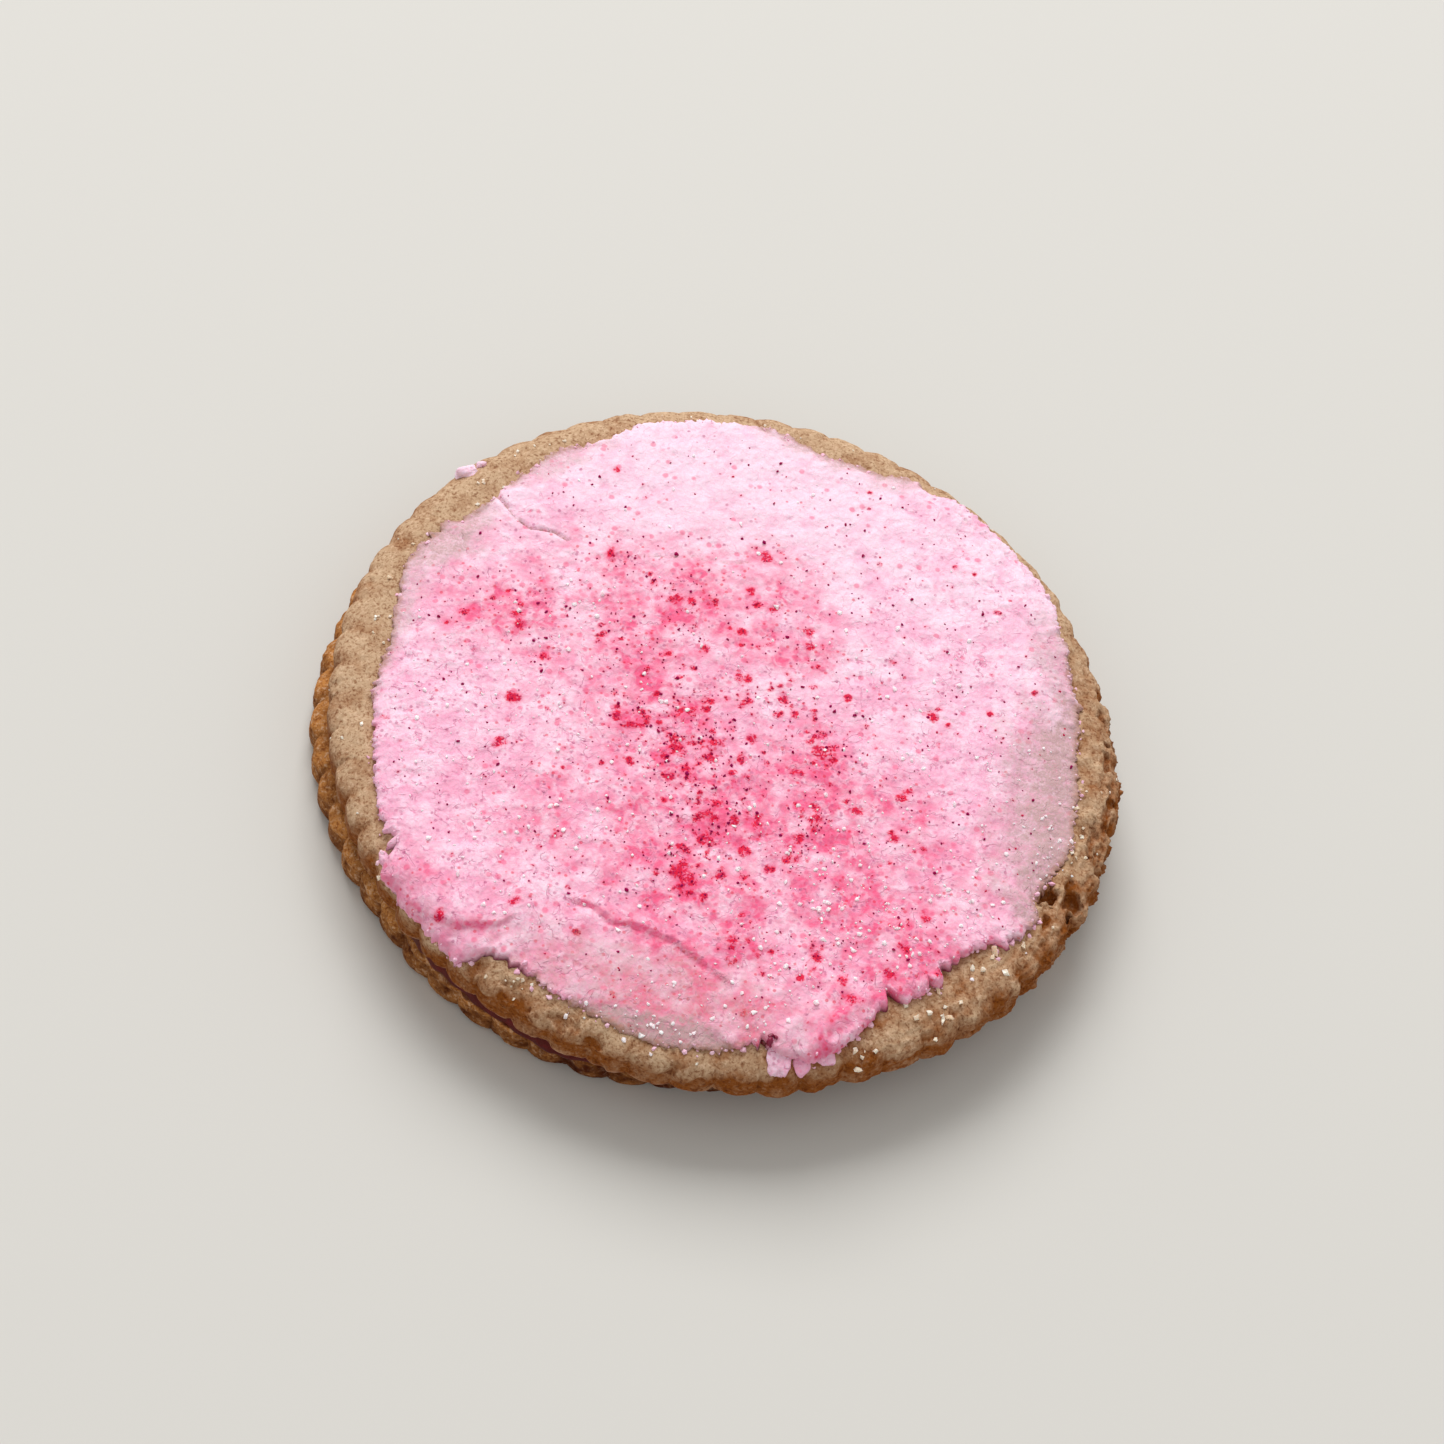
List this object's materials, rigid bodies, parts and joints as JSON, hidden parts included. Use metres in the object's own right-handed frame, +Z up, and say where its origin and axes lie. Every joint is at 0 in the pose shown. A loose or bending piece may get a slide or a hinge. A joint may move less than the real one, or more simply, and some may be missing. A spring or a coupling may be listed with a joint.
{
  "type": "belgian biscuit",
  "caption": "Round sandwich of scalloped spiced biscuits with a thin jam layer, spread on top with crumbly pink icing strewn with red jelly crystals and sugar.",
  "frame": {"origin": "middle of the footprint on the surface that the biscuit lies on", "axes": "+Z up through the icing, -Y towards the side that the picture shows nearest, +X to its right"},
  "size_m": [0.0708, 0.0706, 0.0101],
  "materials": {
    "bottom_biscuit": "browned, dry and finely cracked biscuit",
    "jam": "dark red jam, wet at the edge",
    "top_biscuit": "matt, finely grained spiced biscuit",
    "icing": "matt pink sugar icing with red crystals and sugar grains"
  },
  "bodies": {
    "root": {"bottom_biscuit": "bottom_biscuit", "jam_filling": "jam", "top_biscuit": "top_biscuit", "icing": "icing"}
  },
  "joints": []
}
